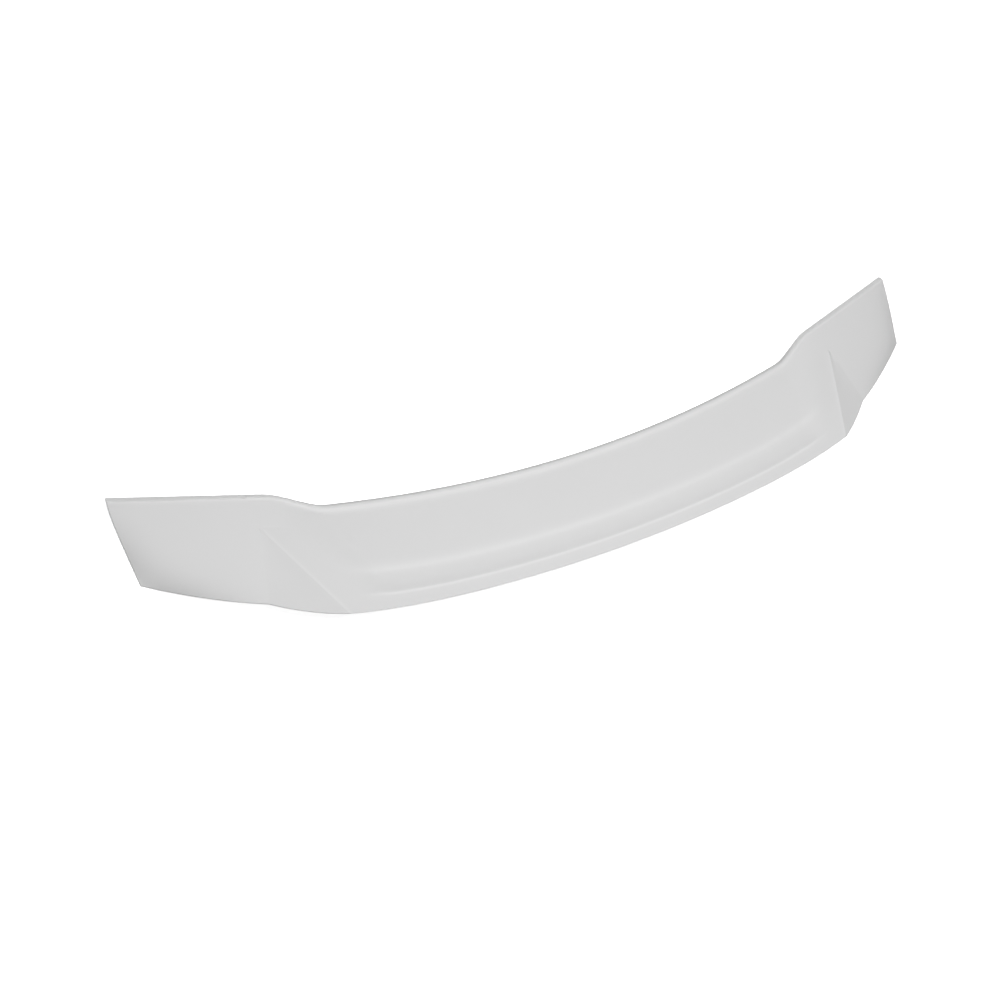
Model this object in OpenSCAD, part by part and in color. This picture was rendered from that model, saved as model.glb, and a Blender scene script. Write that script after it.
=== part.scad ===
// Boot-lid spoiler: one thin moulded shell, open underneath.
// X runs across the car, +Y is forward, Z is up and the rim lies on Z = 0.
// Plan distances called "back" are measured rearward from the wing tips' front corners.

/* [Overall size] */
// Half of the span, at the front corner of a wing tip
half_span = 600; // [520:5:700]
// How far back the trailing lip reaches on the centre line
depth = 243; // [220:1:270]
// Height of the trailing lip along the raised middle
lip_height = 58; // [45:1:75]
// Thickness of the moulded skin
skin = 3; // [2:0.25:4]
// Width of the rim along the front and the tips
rim_width = 5; // [4:0.5:8]
// Rounding along the trailing edge
edge_round = 1.3; // [0.8:0.1:2]
// Rounding along the tips
tip_round = 3; // [1:0.5:4]

/* [Leading edge] */
// How far back the leading edge lies on the centre line
front_bow = 112; // [95:1:125]
// How much of that bow is lost at the inner kink
front_curve = 35; // [20:1:45]
// Half width at the inner end of the kink
kink_inner_x = 367; // [350:1:380]
// Half width at the outer end of the kink
kink_outer_x = 419; // [405:1:430]
// How far back the leading edge lies at the outer end of the kink
kink_outer_back = 48; // [40:1:56]
// Length over which each kink is eased
kink_round = 9; // [4:1:14]
// Height of the surface behind the leading bead
bead_height = 5; // [4:0.5:7]
// How much the bead's crest stands above that surface
bead_rise = 0.7; // [0:0.1:1.2]
// Depth of the bead's front face along the middle
bead_depth = 5; // [4:0.5:9]
// Depth of the bead's front face along the wings
bead_wing_depth = 8; // [4:0.5:10]
// Depth over which the crest falls back to the surface
bead_back = 6; // [4:0.5:9]
// Height of the upright trim at the very edge
edge_height = 0.8; // [0.6:0.1:2]

/* [Trailing lip] */
// Half width of the raised middle, at its rear corners
lip_half = 392; // [370:1:405]
// How much the lip's outline bows over that half width
lip_bow = 30; // [15:1:45]
// Extra turn of the outline just before its corners
lip_corner = 6; // [0:0.5:12]
// Depth of the flat band along the lip
band_depth = 17; // [12:1:22]
// Half width at which the step in front of the band has died out
step_half = 368; // [340:1:380]
// Forward lean of the rear wall, in degrees
undercut = 12; // [8:1:18]

/* [Wings] */
// Half width where the two creases of the side facet start
apex_x = 449; // [440:1:458]
// How far back that point lies
apex_back = 82; // [75:1:90]
// Half width of the facet's outer corner on the trailing edge
facet_x = 470; // [460:1:480]
// How far back that corner lies
facet_back = 168; // [160:1:178]
// Height of that corner
facet_height = 29; // [22:1:34]
// How much the facet is hollowed in front of the trailing edge
facet_hollow = 0.7; // [0:0.1:1]
// Rearward swell of the facet's trailing edge
facet_swell = 3.5; // [0:0.5:6]
// How far inboard the tip's rear corner lies of its front corner
tip_lean = 6; // [0:1:15]
// How far back the tip's rear corner lies
tip_depth = 104; // [90:1:115]
// Outward swell of the tip's edge
tip_swell = 3.6; // [0:0.2:6]
// Outward swell of the wing's trailing edge
wing_swell = 3.8; // [0:0.2:6]
// Height of the tip's rear corner
tip_low = 2; // [1.5:0.5:4]
// Fullness of the wing's surface towards the tip's rear corner
wing_crown = 12; // [0:1:16]

/* [Hidden] */

// Number of stations in the quiet and the busy part of the middle, and on each wing
quiet_columns = 9;
busy_columns = 13;
busy_from = 0.7;
wing_columns = 8;
middle_columns = quiet_columns + busy_columns;
// The hidden face stays at least this far above the floor
rim_gap = 0.4;
// Fraction of the chord at which the facet creases start
apex_share = 0.328;
// The finished part is centred front to back
y_front = depth / 2;

// Rows of the skin from the leading edge (0) to the trailing edge (1)
rows = [0, 0.01, 0.024, 0.042, 0.06, 0.09, 0.13, 0.19, 0.26, apex_share, 0.4, 0.47, 0.55,
        0.6, 0.64, 0.67, 0.69, 0.72, 0.76, 0.8, 0.84, 0.863, 0.873, 0.89, 0.93, 0.97, 0.99, 1];

// Steepness of the middle section against the share of the chord: bead top, main sweep,
// ledge, step and lip band
band_share = 1 - band_depth / (depth - front_bow);
section_mid = [[0, 0.04], [0.08, 0.05], [0.13, 0.45], [0.55, 0.45], [0.62, 0.25], [0.655, 0.05],
               [0.675, 0.06], [0.7, 0.4], [0.79, 0.55], [band_share - 0.025, 0.8],
               [band_share - 0.008, 0.8], [band_share + 0.002, 0.12], [band_share + 0.014, 0.2],
               [band_share + 0.028, 0.38], [1, 0.38]];
// The same knots where the step has died out
section_end = [[0, 0.04], [0.08, 0.05], [0.13, 0.42], [0.6, 0.42], [0.75, 0.3], [0.8, 0.22],
               [0.815, 0.22], [0.82, 0.23], [0.825, 0.24], [band_share - 0.025, 0.26],
               [band_share - 0.008, 0.28], [band_share + 0.002, 0.28], [band_share + 0.014, 0.3],
               [band_share + 0.028, 0.34], [1, 0.36]];

function clamp01(u) = min(max(u, 0), 1);
function ease(u) = let (c = clamp01(u)) c * c * (3 - 2 * c);
function mix(a, b, k) = a + (b - a) * k;

// Leading edge: how far back it lies at a half width x
kink_inner_back = front_bow - front_curve;
function front_sharp(x) =
    x < kink_inner_x ? front_bow - front_curve * pow(x / kink_inner_x, 2)
    : x < kink_outer_x
        ? mix(kink_inner_back, kink_outer_back, (x - kink_inner_x) / (kink_outer_x - kink_inner_x))
        : mix(kink_outer_back, 0, (x - kink_outer_x) / (half_span - kink_outer_x));
function front_back(x) =
    (front_sharp(abs(x - kink_round)) + 2 * front_sharp(x) + front_sharp(x + kink_round)) / 4;

// Trailing lip of the raised middle: how far back it lies at a half width x
function lip_back(x) =
    let (s = x / lip_half) depth - lip_bow * pow(s, 2) - lip_corner * pow(s, 6);

// Area under a steepness curve from 0 to v, by trapezoids
function area(knots, v, i = 0) =
    i >= len(knots) - 1 || knots[i][0] >= v ? 0
    : let (a = knots[i], b = knots[i + 1], e = min(v, b[0]),
           s = mix(a[1], b[1], (e - a[0]) / (b[0] - a[0])))
      (a[1] + s) / 2 * (e - a[0]) + area(knots, v, i + 1);

// Bead: its front face rises from the edge to the crest, which falls back to the surface
function base_height(v, chord, front_x) =
    let (gap = v * chord,
         wide = mix(bead_depth, bead_wing_depth,
                    ease((front_x - kink_inner_x) / (kink_outer_x - kink_inner_x))),
         face = sin(90 * clamp01(gap / wide)))
    mix(edge_height, bead_height + bead_rise, face) - bead_rise * ease((gap - wide) / bead_back);

// Height of the wing where it starts, and of the crease that bounds the raised middle
function wing_root(v) = (facet_height - bead_height) * (1 - pow(1 - v, 2));
function crease_rise(v) =
    v <= apex_share ? wing_root(v)
    : mix(wing_root(apex_share), lip_height - bead_height, (v - apex_share) / (1 - apex_share));

// Share of the chord by which a station's points bend towards the facet's apex
function hat(v) = v < apex_share ? v / apex_share : (1 - v) / (1 - apex_share);

// Middle section at station t (0 on the centre line, 1 at the crease)
function middle_point(t, v) =
    let (front = [t * apex_x, front_back(t * apex_x)],
         rear = [t * lip_half, lip_back(t * lip_half)],
         bend = ([apex_x, apex_back] - mix([apex_x, front_back(apex_x)],
                 [lip_half, lip_back(lip_half)], apex_share)) * ease((t - 0.6) / 0.4),
         plan = mix(front, rear, v) + bend * hat(v),
         chord = rear[1] - front[1],
         fade = ease((t * lip_half - 0.78 * step_half) / (0.22 * step_half)),
         knots = [for (i = [0:len(section_mid) - 1]) mix(section_mid[i], section_end[i], fade)],
         sweep = (lip_height - bead_height) * area(knots, v) / area(knots, 1),
         rise = mix(sweep, crease_rise(v), ease((t - 0.8) / 0.2)))
    [plan[0], plan[1], base_height(v, chord, front[0]) + rise, chord];

// Wing section at station w (0 at the crease, 1 at the tip)
function wing_point(w, v) =
    let (front_x = mix(apex_x, half_span, w),
         front = [front_x, front_back(front_x)],
         rear = [mix(facet_x, half_span - tip_lean, w),
                 mix(facet_back, tip_depth, w) + wing_swell * 4 * w * (1 - w)],
         bend = ([apex_x, apex_back] - mix([apex_x, front_back(apex_x)],
                 [facet_x, facet_back], apex_share)) * ease(1 - w / 0.6),
         swell = tip_swell * sin(180 * sqrt(v)) * w,
         plan = mix(front, rear, v) + bend * hat(v) + [swell, 0],
         chord = rear[1] - front[1],
         rise = mix(wing_root(v), (tip_low - bead_height) * v, w),
         crown = wing_crown * v * (1 - pow(v, 4)) * w * (1 - pow(w, 4)))
    [plan[0], plan[1], base_height(v, chord, front[0]) + rise + crown, chord];

// Stations from the left tip to the right one: [kind, side, parameter]
middle = 0;
facet = 1;
wing = 2;
function middle_t(i) =
    let (n = abs(i))
    n <= quiet_columns ? busy_from * n / quiet_columns
    : busy_from + (1 - busy_from) * (n - quiet_columns) / busy_columns;
facet_f = [0.2, 0.5, 0.8];
wing_length = half_span - apex_x;
wing_round_w = 1 - tip_round / wing_length;
wing_w = concat([for (i = [0:wing_columns]) i / wing_columns * wing_round_w],
                [1 - tip_round / 3 / wing_length, 1]);
outboard = concat([for (f = facet_f) [facet, f]], [for (w = wing_w) [wing, w]]);
stations = concat(
    [for (i = [len(outboard) - 1:-1:0]) [outboard[i][0], -1, outboard[i][1]]],
    [for (i = [-middle_columns:middle_columns]) [middle, i < 0 ? -1 : 1, middle_t(i)]],
    [for (s = outboard) [s[0], 1, s[1]]]);
last_station = len(stations) - 1;

// A point of one half: half width, how far back, height and chord. The hidden face is brought
// in from the front and the tip by rim and from the rear by back.
function half_point(kind, par, v, rim = 0, back = 0) =
    let (span = kind == middle ? depth - front_bow : tip_depth,
         u = mix(rim / span, 1 - back / span, v))
    kind == middle ? middle_point(par, u)
    : kind == wing ? wing_point(par * (1 - rim / wing_length), u)
    : let (a = half_point(middle, 1, v, rim, back), b = half_point(wing, 0, v, rim, back),
           p = mix(a, b, par), sag = 1 - pow(1 - par, 1.1 + facet_hollow * (1 - v * v)))
      [p[0], p[1] + facet_swell * 4 * par * (1 - par) * v, mix(a[2], b[2], sag), p[3]];

// Height lost where an edge is rounded, at a gap from that edge
function roll(gap, height, radius, share) =
    let (r = min(radius, share * height), c = max(r - gap, 0)) r - sqrt(r * r - c * c);

// A point of the outer skin
function outer_point(s, v) =
    let (p = half_point(s[0], s[2], v),
         low = p[2] - roll((1 - v) * p[3], p[2], edge_round, 0.45),
         z = s[0] == wing ? low - roll((1 - s[2]) * wing_length, low, tip_round, 0.85) : low)
    [s[1] * p[0], y_front - p[1], z];

// A point of the hidden face
function inner_point(s, v) =
    let (p = half_point(s[0], s[2], v, rim_width, skin))
    [s[1] * p[0], y_front - p[1], max(p[2] - skin, rim_gap)];

// The foot of a point: on the floor, with the rear wall's forward lean
function foot_point(p, v) = [p[0], p[1] + p[2] * tan(undercut) * pow(v, 2), 0];

// Stations and rows as a grid of point numbers. Before the apex, the facet's stations share
// the points of the crease, so the facet starts in one point.
count = len(rows);
last_row = count - 1;
apex_row = search(apex_share, rows)[0];
function in_facet(i) = stations[i][0] == facet || (stations[i][0] == wing && stations[i][2] == 0);
left_crease = len(outboard);
right_crease = last_station - len(outboard);
function twin(i) = !in_facet(i) ? i : stations[i][1] < 0 ? left_crease : right_crease;
function is_crease(i) = twin(i) == twin(i + 1);
function id(i, j) = (j <= apex_row ? twin(i) : i) * count + j;

// The rim runs along the front, the right tip, the rear and the left tip
rim = [for (r = concat(
           [for (i = [0:last_station]) [i, 0]],
           [for (j = [1:last_row - 1]) [last_station, j]],
           [for (i = [last_station:-1:0]) [i, last_row]],
           [for (j = [last_row - 1:-1:1]) [0, j]]))
       if (r[1] > apex_row || twin(r[0]) == r[0]) r];
rim_count = len(rim);

function turned(faces) = [for (f = faces) [f[2], f[1], f[0]]];
function shifted(faces, by) = [for (f = faces) [f[0] + by, f[1] + by, f[2] + by]];
// Two triangles for each step between two closed loops of point numbers
function band(upper, lower) =
    [for (k = [0:rim_count - 1])
        let (n = (k + 1) % rim_count)
        each [[lower[n], upper[n], upper[k]], [lower[k], lower[n], upper[k]]]];

module spoiler_shell() {
    outer = [for (s = stations, v = rows) outer_point(s, v)];
    inner = [for (s = stations, v = rows) inner_point(s, v)];
    size = len(outer);
    outer_foot = [for (r = rim) foot_point(outer[id(r[0], r[1])], rows[r[1]])];
    inner_foot = [for (r = rim) foot_point(inner[id(r[0], r[1])], rows[r[1]])];
    outer_rim = [for (r = rim) id(r[0], r[1])];
    inner_rim = [for (n = outer_rim) n + size];
    outer_floor = [for (k = [0:rim_count - 1]) 2 * size + k];
    inner_floor = [for (n = outer_floor) n + rim_count];
    skin_faces = [for (i = [0:last_station - 1], j = [0:last_row - 1])
        let (a = id(i, j), b = id(i, j + 1), c = id(i + 1, j + 1), d = id(i + 1, j))
        each (is_crease(i) && j < apex_row ? [] : is_crease(i) && j == apex_row ? [[c, b, a]]
              : [[c, b, a], [d, c, a]])];
    color("gainsboro")
        polyhedron(points = concat(outer, inner, outer_foot, inner_foot),
                   faces = concat(skin_faces, shifted(turned(skin_faces), size),
                                  band(outer_rim, outer_floor), band(outer_floor, inner_floor),
                                  turned(band(inner_rim, inner_floor))),
                   convexity = 8);
}

spoiler_shell();
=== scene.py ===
"""Looks of the rear spoiler: one moulded shell in satin grey primer, on a plain pale floor."""

import math

import bmesh
import bpy
import numpy as np
from mathutils import Matrix, Vector


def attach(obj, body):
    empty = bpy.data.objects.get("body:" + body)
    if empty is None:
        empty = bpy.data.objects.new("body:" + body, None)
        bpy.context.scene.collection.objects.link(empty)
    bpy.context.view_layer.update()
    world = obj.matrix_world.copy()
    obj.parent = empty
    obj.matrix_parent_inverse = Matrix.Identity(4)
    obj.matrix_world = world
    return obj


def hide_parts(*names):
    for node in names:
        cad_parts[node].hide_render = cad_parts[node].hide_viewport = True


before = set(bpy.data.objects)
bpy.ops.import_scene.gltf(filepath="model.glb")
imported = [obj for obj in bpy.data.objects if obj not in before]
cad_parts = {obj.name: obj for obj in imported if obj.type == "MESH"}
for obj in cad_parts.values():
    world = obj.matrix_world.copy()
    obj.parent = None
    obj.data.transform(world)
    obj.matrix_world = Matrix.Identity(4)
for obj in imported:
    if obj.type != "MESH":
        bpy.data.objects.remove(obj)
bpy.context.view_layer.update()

# Sizes in millimetres. "back" is the distance rearward from the wing tips' front corners.
HALF_SPAN = 600
DEPTH = 243
LIP_HEIGHT = 58
SKIN = 3
RIM_WIDTH = 5
# Least height of the hidden face over the rim
INNER_LEAST = 0.3
# Metres in a millimetre
MM = 0.001

# Leading edge: a shallow arc, then a kink and a straight run to the tip on each side
FRONT_BOW = 112
FRONT_CURVE = 35
KINK_INNER_X = 367
KINK_OUTER_X = 419
KINK_OUTER_BACK = 48
KINK_ROUND = 9

# Bead along the leading edge, with values of its own where it runs along a wing
BEAD_HEIGHT = 5.6
BEAD_DEPTH = 7.6
BEAD_WING_DEPTH = 5.6
BEAD_RISE = 0.9
BEAD_BACK = 5
BEAD_BEND = 2.2
BEAD_WING_BEND = 1.2
EDGE_HEIGHT = 0.8
EDGE_WING_HEIGHT = 1.6

# Trailing lip, its flat band and the step in front of it
LIP_HALF = 392
LIP_BOW = 30
LIP_CORNER = 6
BAND_DEPTH = 17
STEP_HALF = 368
# Share of the step's half width from which it dies out
STEP_FADE = 0.86

# Lean of the rear wall and of the tip walls, and the half width in metres from which the tip walls lean
UNDERCUT = math.radians(12)
TIP_UNDERCUT = math.radians(18)
TIP_FROM = 0.57

# Side facet between the crease and the wing root
APEX_X = 449
APEX_BACK = 82
APEX_SHARE = 0.328
FACET_X = 470
FACET_BACK = 168
FACET_HEIGHT = 29
FACET_SWELL = 3.5
FACET_CURVE = 1.05
FACET_HOLLOW = 0.15
# Shares of the half width from which the rows bend to the apex and turn into the crease
BEND_FROM = 0.6
CREASE_FROM = 0.8

# Wing, from its root at the facet to the tip
ROOT_BEND = 0.5
WING_BEND_TO = 0.6
WING_SWELL = 3.8
WING_CROWN = 19
CROWN_REAR_POWER = 5
CROWN_TIP_POWER = 6
TIP_LEAN = 6
TIP_DEPTH = 104
TIP_SWELL = 3.6
TIP_LOW = 2

# Radius of the rounding along the trailing edge and the wing tips, and its largest share of the height
EDGE_ROUND = 1.3
TIP_ROUND = 1.2
ROUND_SHARE = 0.45

MIDDLE_CHORD = DEPTH - FRONT_BOW
BAND = 1 - BAND_DEPTH / MIDDLE_CHORD
# Steepness of the middle section against the share of the chord
SECTION_MID = [(0, 0.04), (0.08, 0.05), (0.13, 0.45), (0.55, 0.45), (0.62, 0.25), (0.655, 0.05),
               (0.675, 0.06), (0.7, 0.33), (0.79, 0.6), (BAND - 0.04, 0.86), (BAND - 0.008, 0.95),
               (BAND + 0.002, 0.12), (BAND + 0.014, 0.2), (BAND + 0.028, 0.38), (1, 0.38)]
# The same knots where the step has died out
SECTION_END = [(0, 0.04), (0.08, 0.05), (0.13, 0.45), (0.5, 0.45), (0.66, 0.3), (0.74, 0.2),
               (0.77, 0.18), (0.79, 0.18), (0.81, 0.2), (BAND - 0.025, 0.25), (BAND - 0.008, 0.28),
               (BAND + 0.002, 0.28), (BAND + 0.014, 0.3), (BAND + 0.028, 0.34), (1, 0.36)]

# Painted highlights along the crests and painted shade at the bead's foot: widths in millimetres, and the
# strength where that isn't 1. The wing's shift is in millimetres too, and the band's shift and the shelf's
# place are shares of the chord.
BEAD_HIGHLIGHT_WIDTH = 2.6
BEAD_WING_HIGHLIGHT_WIDTH = 1.6
BEAD_WING_HIGHLIGHT_SHIFT = 0.8
# Painted shade: a dark line along the bead's foot
FOOT_SHADE_WIDTH = 2.8
FOOT_WING_SHADE_WIDTH = 4
FOOT_WING_SHADE_STRENGTH = 0.15
BAND_HIGHLIGHT_WIDTH = 2.1
BAND_HIGHLIGHT_SHIFT = 0.006
SHELF_HIGHLIGHT_WIDTH = 5
SHELF_HIGHLIGHT_SHARE = 0.665
SHELF_HIGHLIGHT_STRENGTH = 0.5
CREASE_HIGHLIGHT_WIDTH = 4
CREASE_HIGHLIGHT_STRENGTH = 0.6

# Distance in metres under which points are one, and the angle from which an edge shows as sharp
WELD = 1e-6
SHARP_ANGLE = math.radians(38)

# Greys of the primer: painted shade at the bead's foot, the plain primer grey, and painted highlights along
# the crests
PAINTED_SHADE_GREY = 0.6
PLAIN_GREY = 0.78
PAINTED_HIGHLIGHT_GREY = 0.84

# Stage, lights and camera, in metres. The floor's glow rises to white between GLOW_NEAR and GLOW_FAR.
FLOOR_HALF = 4
FLOOR_GLOW = 0.85
GLOW_NEAR = 0.65
GLOW_FAR = 1.2
AMBIENT = 0.04
LAMP_AT = (-0.22, 0.4, 2.8)
LAMP_AIM = (0.1, 0, 0.02)
LAMP_CONE = 1.32
LAMP_WATTS = 268
LAMP_RADIUS = 0.5
FILL_FROM = (-1, 0.1, 0.5)
FILL_STRENGTH = 0.1
FILL_ANGLE = math.radians(40)
CAMERA_AT = (-0.96805, 0.00611, 1.55068)
CAMERA_RIGHT = (0.83537, -0.30862, 0.45488)
CAMERA_UP = (0.2777, 0.95109, 0.1353)
CAMERA_BACK = (-0.47439, 0.01329, 0.88022)
CAMERA_LENS = 50.4
CAMERA_SENSOR = 36

# Shares of the chord, close together on the bead, the step and the rounded rear edge
ROWS = np.unique(np.concatenate([
    [0, 0.004, 0.009, 0.015, 0.02, 0.024, 0.028, 0.033, 0.038, 0.043, 0.048, 0.053, 0.06],
    np.linspace(0.07, 0.6, 26), np.linspace(0.61, 0.84, 22),
    BAND + np.array([-0.02, -0.012, -0.006, -0.002, 0.002, 0.006, 0.01, 0.014, 0.02, 0.028]),
    np.linspace(BAND + 0.045, 0.985, 6), [APEX_SHARE, 0.99, 0.9935, 0.9965, 0.9985, 1]]))
# Stations of one half: the middle's from the centre, the facet's from the crease, the wing's from its root
MIDDLE = np.concatenate([np.linspace(0, 0.7, 50)[:-1], np.linspace(0.7, 1, 46)])
FACET = np.array([0.012, 0.03, 0.1, 0.3, 0.5, 0.7, 0.9, 0.97, 0.988])
WING = np.concatenate([[0, 0.006, 0.014], np.linspace(0.03, 0.96, 36),
                       1 - np.array([0.02, 0.016, 0.012, 0.008, 0.005, 0.0025, 0.001, 0])])
HALF = [("middle", t) for t in MIDDLE] + [("facet", f) for f in FACET] + [("wing", w) for w in WING]
# Shares at which a section's running area is worked out
FINE = np.linspace(0, 1, 2001)


def ease(u):
    c = min(max(u, 0), 1)
    return c * c * (3 - 2 * c)


def mix(a, b, k):
    return a + (b - a) * k


def bell(distance, width, power=2):
    return np.exp(-(distance / width) ** power)


def front_sharp(x):
    """How far back the leading edge lies at a half width, with sharp kinks."""
    inner_back = FRONT_BOW - FRONT_CURVE
    if x < KINK_INNER_X:
        return FRONT_BOW - FRONT_CURVE * (x / KINK_INNER_X) ** 2
    if x < KINK_OUTER_X:
        return mix(inner_back, KINK_OUTER_BACK, (x - KINK_INNER_X) / (KINK_OUTER_X - KINK_INNER_X))
    return mix(KINK_OUTER_BACK, 0, (x - KINK_OUTER_X) / (HALF_SPAN - KINK_OUTER_X))


def front_back(x):
    """How far back the leading edge lies at a half width."""
    return (front_sharp(abs(x - KINK_ROUND)) + 2 * front_sharp(x) + front_sharp(x + KINK_ROUND)) / 4


def lip_back(x):
    """How far back the trailing lip lies at a half width."""
    s = x / LIP_HALF
    return DEPTH - LIP_BOW * s**2 - LIP_CORNER * s**6


def outboard_share(x):
    """0 along the middle's leading edge, 1 along the wing's, with a smooth change over the kink."""
    return ease((x - KINK_INNER_X) / (KINK_OUTER_X - KINK_INNER_X))


def step_fade(t):
    """0 where the step is whole, 1 where it has died out."""
    return ease((t * LIP_HALF - STEP_FADE * STEP_HALF) / ((1 - STEP_FADE) * STEP_HALF))


def sweep(knots):
    """Running area under a steepness curve, on FINE."""
    steep = np.interp(FINE, [k[0] for k in knots], [k[1] for k in knots])
    return np.concatenate([[0], np.cumsum((steep[1:] + steep[:-1]) / 2 * np.diff(FINE))])


def base_height(v, chord, front):
    """Height of the bead and the plain surface behind it, where the leading edge is at half width front."""
    gap = v * chord
    outboard = outboard_share(front)
    wide = mix(BEAD_DEPTH, BEAD_WING_DEPTH, outboard)
    edge = mix(EDGE_HEIGHT, EDGE_WING_HEIGHT, outboard)
    face = 1 - (1 - np.clip(gap / wide, 0, 1)) ** mix(BEAD_BEND, BEAD_WING_BEND, outboard)
    behind = np.clip((gap - wide) / BEAD_BACK, 0, 1)
    return mix(edge, BEAD_HEIGHT + BEAD_RISE, face) - BEAD_RISE * behind**2 * (3 - 2 * behind)


def wing_root(v):
    return (FACET_HEIGHT - BEAD_HEIGHT) * mix(v, 1 - (1 - v) ** 2, ROOT_BEND)


def crease_rise(v):
    start = wing_root(APEX_SHARE)
    along = (v - APEX_SHARE) / (1 - APEX_SHARE)
    return np.where(v <= APEX_SHARE, wing_root(v), mix(start, LIP_HEIGHT - BEAD_HEIGHT, along))


def hat(v):
    """1 at the apex's share of the chord, falling to 0 at both ends."""
    return np.where(v < APEX_SHARE, v / APEX_SHARE, (1 - v) / (1 - APEX_SHARE))


def apex_bend(rear):
    """How far a straight row to a rear point has to bend to pass through the apex."""
    apex = np.array([APEX_X, APEX_BACK])
    return apex - mix(np.array([APEX_X, front_back(APEX_X)]), np.array(rear), APEX_SHARE)


def middle_line(t, v):
    """Points (half width, back, height) of the middle at station t, 0 at the centre and 1 at the crease."""
    front = np.array([t * APEX_X, front_back(t * APEX_X)])
    rear = np.array([t * LIP_HALF, lip_back(t * LIP_HALF)])
    bend = apex_bend([LIP_HALF, lip_back(LIP_HALF)]) * ease((t - BEND_FROM) / (1 - BEND_FROM))
    plan = mix(front[:, None], rear[:, None], v) + bend[:, None] * hat(v)
    fade = step_fade(t)
    run = sweep([(mix(a[0], b[0], fade), mix(a[1], b[1], fade)) for a, b in zip(SECTION_MID, SECTION_END)])
    rise = (LIP_HEIGHT - BEAD_HEIGHT) * np.interp(v, FINE, run) / run[-1]
    rise = mix(rise, crease_rise(v), ease((t - CREASE_FROM) / (1 - CREASE_FROM)))
    return np.array([plan[0], plan[1], base_height(v, rear[1] - front[1], front[0]) + rise])


def wing_line(w, v):
    """Points of a wing at station w, 0 at its root and 1 at the tip."""
    front_x = mix(APEX_X, HALF_SPAN, w)
    front = np.array([front_x, front_back(front_x)])
    rear_x = mix(FACET_X, HALF_SPAN - TIP_LEAN, w)
    rear = np.array([rear_x, mix(FACET_BACK, TIP_DEPTH, w) + WING_SWELL * 4 * w * (1 - w)])
    bend = apex_bend([FACET_X, FACET_BACK]) * ease(1 - w / WING_BEND_TO)
    swell = TIP_SWELL * np.sin(np.pi * v**0.5) * w
    plan = mix(front[:, None], rear[:, None], v) + bend[:, None] * hat(v)
    rise = mix(wing_root(v), (TIP_LOW - BEAD_HEIGHT) * v, w)
    crown = WING_CROWN * v * (1 - v**CROWN_REAR_POWER) * w * (1 - w**CROWN_TIP_POWER)
    return np.array([plan[0] + swell, plan[1], base_height(v, rear[1] - front[1], front[0]) + rise + crown])


def rounding(gap, height, radius):
    """How far a surface drops when an edge is rounded, at a gap from the edge."""
    r = np.minimum(radius, ROUND_SHARE * height)
    inside = np.clip(r - gap, 0, r)
    return r - np.sqrt(r**2 - inside**2)


def facet_line(f, v, rim, rear):
    """Points of the side facet at station f, 0 at the crease and 1 at the wing root."""
    crease = station_line("middle", 1, v, rim, rear)
    root = station_line("wing", 0, v, rim, rear)
    p = mix(crease, root, f)
    p[1] += FACET_SWELL * 4 * f * (1 - f) * v
    p[2] = mix(crease[2], root[2], 1 - (1 - f) ** (FACET_CURVE + FACET_HOLLOW * (1 - v**2)))
    return p


def station_line(kind, par, v, rim=0, rear=0):
    """Points of one half's station: kind is middle, facet or wing. The hidden face is brought in from
    the front and the tip by rim and from the rear by rear."""
    if kind == "facet":
        return facet_line(par, v, rim, rear)
    span = MIDDLE_CHORD if kind == "middle" else TIP_DEPTH
    u = mix(rim / span, 1 - rear / span, v)
    if kind == "middle":
        p = middle_line(par, u)
    else:
        p = wing_line(par * (1 - rim / (HALF_SPAN - APEX_X)), u)
    if not rim:
        p[2] -= rounding((1 - v) * (p[1][-1] - p[1][0]), p[2], EDGE_ROUND)
        if kind == "wing":
            p[2] -= rounding((1 - par) * (HALF_SPAN - APEX_X), p[2], TIP_ROUND)
    return p


def skin_grid(rim, rear, drop):
    """Grid of points, stations from the left tip to the right one by rows, in metres."""
    right = [station_line(kind, par, ROWS, rim, rear) for kind, par in HALF]
    lines = [line * np.array([[-1], [1], [1]]) for line in right[:0:-1]] + right
    grid = [[[x, DEPTH / 2 - back, max(z - drop, INNER_LEAST)] for x, back, z in line.T] for line in lines]
    return np.array(grid) * MM


def crest_mask(kind, par, line):
    """Mask of the painted light at the points of a station: painted highlights near the crests (the bead's
    top, the shelf, the lip band's front edge, the crease of the side facet), and painted shade near the
    bead's foot, counted as negative."""
    gap = line[1] - line[1][0]
    outboard = outboard_share(line[0][0])
    top = mix(BEAD_DEPTH, BEAD_WING_DEPTH + BEAD_WING_HIGHLIGHT_SHIFT, outboard)
    near = bell(gap - top, mix(BEAD_HIGHLIGHT_WIDTH, BEAD_WING_HIGHLIGHT_WIDTH, outboard))
    if kind == "middle":
        whole = 1 - step_fade(par)
        near += whole * bell((ROWS - BAND - BAND_HIGHLIGHT_SHIFT) * MIDDLE_CHORD, BAND_HIGHLIGHT_WIDTH)
        near += SHELF_HIGHLIGHT_STRENGTH * whole * bell((ROWS - SHELF_HIGHLIGHT_SHARE) * MIDDLE_CHORD, SHELF_HIGHLIGHT_WIDTH)
        near += CREASE_HIGHLIGHT_STRENGTH * bell((1 - par) * LIP_HALF, CREASE_HIGHLIGHT_WIDTH) * (ROWS > APEX_SHARE)
    near -= mix(1, FOOT_WING_SHADE_STRENGTH, outboard) * bell(gap, mix(FOOT_SHADE_WIDTH, FOOT_WING_SHADE_WIDTH, outboard), 4)
    return np.clip(near, -1, 1)


def crest_grid():
    right = [crest_mask(kind, par, station_line(kind, par, ROWS)) for kind, par in HALF]
    return np.array(right[:0:-1] + right)


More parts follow.
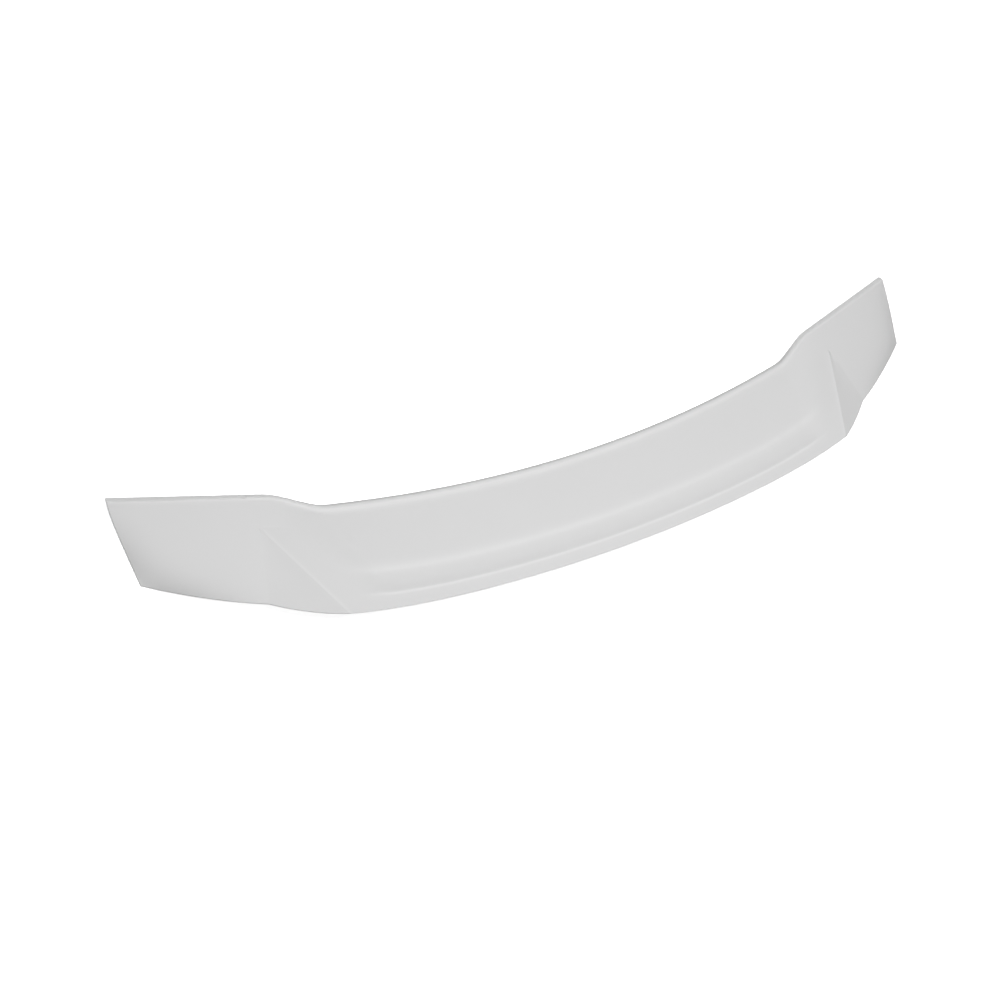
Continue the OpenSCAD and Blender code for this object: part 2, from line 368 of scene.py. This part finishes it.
def add_mesh(name, verts, faces):
    mesh = bpy.data.meshes.new(name)
    mesh.from_pydata([tuple(v) for v in verts], [], faces)
    mesh.validate()
    mesh.update()
    obj = bpy.data.objects.new(name, mesh)
    bpy.context.scene.collection.objects.link(obj)
    return obj


def border(stations, rows):
    """Indices of the grid's edge: front, right tip, rear, left tip."""
    front = [(i, 0) for i in range(stations)]
    right_tip = [(stations - 1, j) for j in range(1, rows - 1)]
    rear = [(i, rows - 1) for i in range(stations - 1, -1, -1)]
    left_tip = [(0, j) for j in range(rows - 2, 0, -1)]
    return front + right_tip + rear + left_tip


def wall_foot(point, v):
    """Where the wall under a point of the skin's edge meets the floor: the rear and the tips lean in."""
    x, y, z = point
    tip = max(abs(x) - TIP_FROM, 0) / (HALF_SPAN * MM - TIP_FROM)
    x -= math.copysign(z * math.tan(TIP_UNDERCUT) * min(tip, 1) ** 2, x)
    return (x, y + z * math.tan(UNDERCUT) * v**2, 0)


def add_skin(grid, flip, verts, faces):
    """Adds one face of the shell with the wall under its edge, and gives the indices of the wall's foot."""
    stations, rows = grid.shape[:2]
    first = len(verts)
    verts += list(grid.reshape(-1, 3))
    quads = []
    for i in range(stations - 1):
        for j in range(rows - 1):
            a = first + i * rows + j
            quads.append([a, a + 1, a + rows + 1, a + rows])
    rim = border(stations, rows)
    top = [first + i * rows + j for i, j in rim]
    foot = [len(verts) + k for k in range(len(rim))]
    verts += [wall_foot(grid[i, j], ROWS[j]) for i, j in rim]
    for k in range(len(rim)):
        n = (k + 1) % len(rim)
        quads.append([top[k], top[n], foot[n], foot[k]])
    faces += [quad[::-1] if flip else quad for quad in quads]
    return foot


def build_shell():
    outer = skin_grid(0, 0, 0)
    inner = skin_grid(RIM_WIDTH, SKIN, SKIN)
    verts, faces = [], []
    out = add_skin(outer, False, verts, faces)
    inn = add_skin(inner, True, verts, faces)
    for k in range(len(out)):
        n = (k + 1) % len(out)
        faces.append([out[k], out[n], inn[n], inn[k]])
    obj = add_mesh("spoiler_skin", verts, faces)
    mesh = obj.data
    # Painted light on the outer skin: highlights along the crests and shade at the bead's foot, as a point
    # attribute
    near = np.zeros(len(mesh.vertices), dtype=np.float32)
    near[:outer.shape[0] * outer.shape[1]] = crest_grid().ravel()
    mesh.attributes.new("crest", "FLOAT", "POINT").data.foreach_set("value", near)
    bm = bmesh.new()
    bm.from_mesh(mesh)
    bmesh.ops.remove_doubles(bm, verts=bm.verts, dist=WELD)
    bmesh.ops.recalc_face_normals(bm, faces=bm.faces)
    bm.to_mesh(mesh)
    bm.free()
    mesh.shade_smooth()
    mesh.set_sharp_from_angle(angle=SHARP_ANGLE)
    return obj


def crest_tone(nodes, links):
    """Grey of the primer with painted light: painted shade at the bead's foot, plain, and painted highlights
    along the crests.
    """
    crest = nodes.new("ShaderNodeAttribute")
    crest.attribute_name = "crest"
    place = nodes.new("ShaderNodeMapRange")
    place.inputs["From Min"].default_value = -1
    links.new(crest.outputs["Fac"], place.inputs["Value"])
    tone = nodes.new("ShaderNodeValToRGB")
    tone.color_ramp.elements[0].color = (PAINTED_SHADE_GREY, PAINTED_SHADE_GREY, PAINTED_SHADE_GREY, 1)
    tone.color_ramp.elements[1].color = (PAINTED_HIGHLIGHT_GREY, PAINTED_HIGHLIGHT_GREY, PAINTED_HIGHLIGHT_GREY, 1)
    tone.color_ramp.elements.new(0.5).color = (PLAIN_GREY, PLAIN_GREY, PLAIN_GREY, 1)
    links.new(place.outputs["Result"], tone.inputs["Fac"])
    return tone.outputs["Color"]


def noise(nodes, links, coord, scale, detail):
    texture = nodes.new("ShaderNodeTexNoise")
    texture.inputs["Scale"].default_value = scale
    texture.inputs["Detail"].default_value = detail
    links.new(coord.outputs["Object"], texture.inputs["Vector"])
    return texture.outputs["Fac"]


def satin_primer():
    """Primer with painted highlights along the crests, painted shade at the bead's foot, a varied gloss and
    a fine grain of about a millimetre.
    """
    mat = bpy.data.materials.new("satin_primer")
    mat.use_nodes = True
    nodes, links = mat.node_tree.nodes, mat.node_tree.links
    shader = nodes["Principled BSDF"]
    shader.inputs["Specular IOR Level"].default_value = 0.2
    links.new(crest_tone(nodes, links), shader.inputs["Base Color"])
    coord = nodes.new("ShaderNodeTexCoord")
    bump = nodes.new("ShaderNodeBump")
    bump.inputs["Strength"].default_value = 0.04
    bump.inputs["Distance"].default_value = 0.0002
    links.new(noise(nodes, links, coord, scale=900, detail=2), bump.inputs["Height"])
    links.new(bump.outputs["Normal"], shader.inputs["Normal"])
    gloss = nodes.new("ShaderNodeMapRange")
    gloss.inputs["To Min"].default_value = 0.5
    gloss.inputs["To Max"].default_value = 0.66
    links.new(noise(nodes, links, coord, scale=70, detail=3), gloss.inputs["Value"])
    links.new(gloss.outputs["Result"], shader.inputs["Roughness"])
    return mat


def direct_view(nodes, links):
    """1 for camera, glossy and transmission rays, 0 for the light that reaches the object."""
    path = nodes.new("ShaderNodeLightPath")
    total = path.outputs["Is Camera Ray"]
    for name in ("Is Glossy Ray", "Is Transmission Ray"):
        add = nodes.new("ShaderNodeMath")
        add.operation = "MAXIMUM"
        links.new(total, add.inputs[0])
        links.new(path.outputs[name], add.inputs[1])
        total = add.outputs[0]
    return total


def floor_level(nodes, links):
    """Glow of the floor: a little under white near the object, where its shadow falls, and white far off."""
    coord = nodes.new("ShaderNodeTexCoord")
    away = nodes.new("ShaderNodeVectorMath")
    away.operation = "LENGTH"
    links.new(coord.outputs["Object"], away.inputs[0])
    level = nodes.new("ShaderNodeMapRange")
    level.inputs["From Min"].default_value = GLOW_NEAR
    level.inputs["From Max"].default_value = GLOW_FAR
    level.inputs["To Min"].default_value = FLOOR_GLOW
    links.new(away.outputs["Value"], level.inputs["Value"])
    return level.outputs["Result"]


def build_floor():
    s = FLOOR_HALF
    floor = add_mesh("floor", [(-s, -s, 0), (s, -s, 0), (s, s, 0), (-s, s, 0)], [(0, 1, 2, 3)])
    mat = bpy.data.materials.new("pale_floor")
    mat.use_nodes = True
    nodes, links = mat.node_tree.nodes, mat.node_tree.links
    shader = nodes["Principled BSDF"]
    shader.inputs["Base Color"].default_value = (0.88, 0.88, 0.88, 1)
    shader.inputs["Roughness"].default_value = 0.9
    shader.inputs["Specular IOR Level"].default_value = 0
    shader.inputs["Emission Color"].default_value = (1, 1, 1, 1)
    glow = nodes.new("ShaderNodeMath")
    glow.operation = "MULTIPLY"
    links.new(direct_view(nodes, links), glow.inputs[0])
    links.new(floor_level(nodes, links), glow.inputs[1])
    links.new(glow.outputs[0], shader.inputs["Emission Strength"])
    floor.data.materials.append(mat)


def build_world():
    world = bpy.data.worlds.new("plain_studio")
    bpy.context.scene.world = world
    world.use_nodes = True
    nodes, links = world.node_tree.nodes, world.node_tree.links
    background = nodes["Background"]
    background.inputs["Color"].default_value = (1, 1, 1, 1)
    level = nodes.new("ShaderNodeMapRange")
    level.inputs["To Min"].default_value = AMBIENT
    level.inputs["To Max"].default_value = 1
    links.new(direct_view(nodes, links), level.inputs["Value"])
    links.new(level.outputs["Result"], background.inputs["Strength"])


def build_camera():
    data = bpy.data.cameras.new("camera")
    data.sensor_width = CAMERA_SENSOR
    data.lens = CAMERA_LENS
    camera = bpy.data.objects.new("camera", data)
    bpy.context.scene.collection.objects.link(camera)
    turn = Matrix((CAMERA_RIGHT, CAMERA_UP, CAMERA_BACK)).transposed().to_4x4()
    camera.matrix_world = Matrix.Translation(CAMERA_AT) @ turn
    bpy.context.scene.camera = camera


def add_light(name, kind, energy, direction):
    """Adds a light that shines along a direction, and gives its object."""
    lamp = bpy.data.lights.new(name, kind)
    lamp.energy = energy
    obj = bpy.data.objects.new(name, lamp)
    bpy.context.scene.collection.objects.link(obj)
    obj.rotation_euler = direction.to_track_quat("-Z", "Y").to_euler()
    return obj


def build_light():
    key = add_light("overhead", "SPOT", LAMP_WATTS, Vector(LAMP_AIM) - Vector(LAMP_AT))
    key.location = LAMP_AT
    key.data.shadow_soft_size = LAMP_RADIUS
    key.data.spot_size = LAMP_CONE
    key.data.spot_blend = 1
    fill = add_light("side_fill", "SUN", FILL_STRENGTH, -Vector(FILL_FROM))
    fill.data.angle = FILL_ANGLE


shell = build_shell()
shell.data.materials.append(satin_primer())
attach(shell, "root")
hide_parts("spoiler_shell")
build_floor()
build_world()
build_camera()
build_light()
bpy.context.scene.view_settings.view_transform = "Standard"
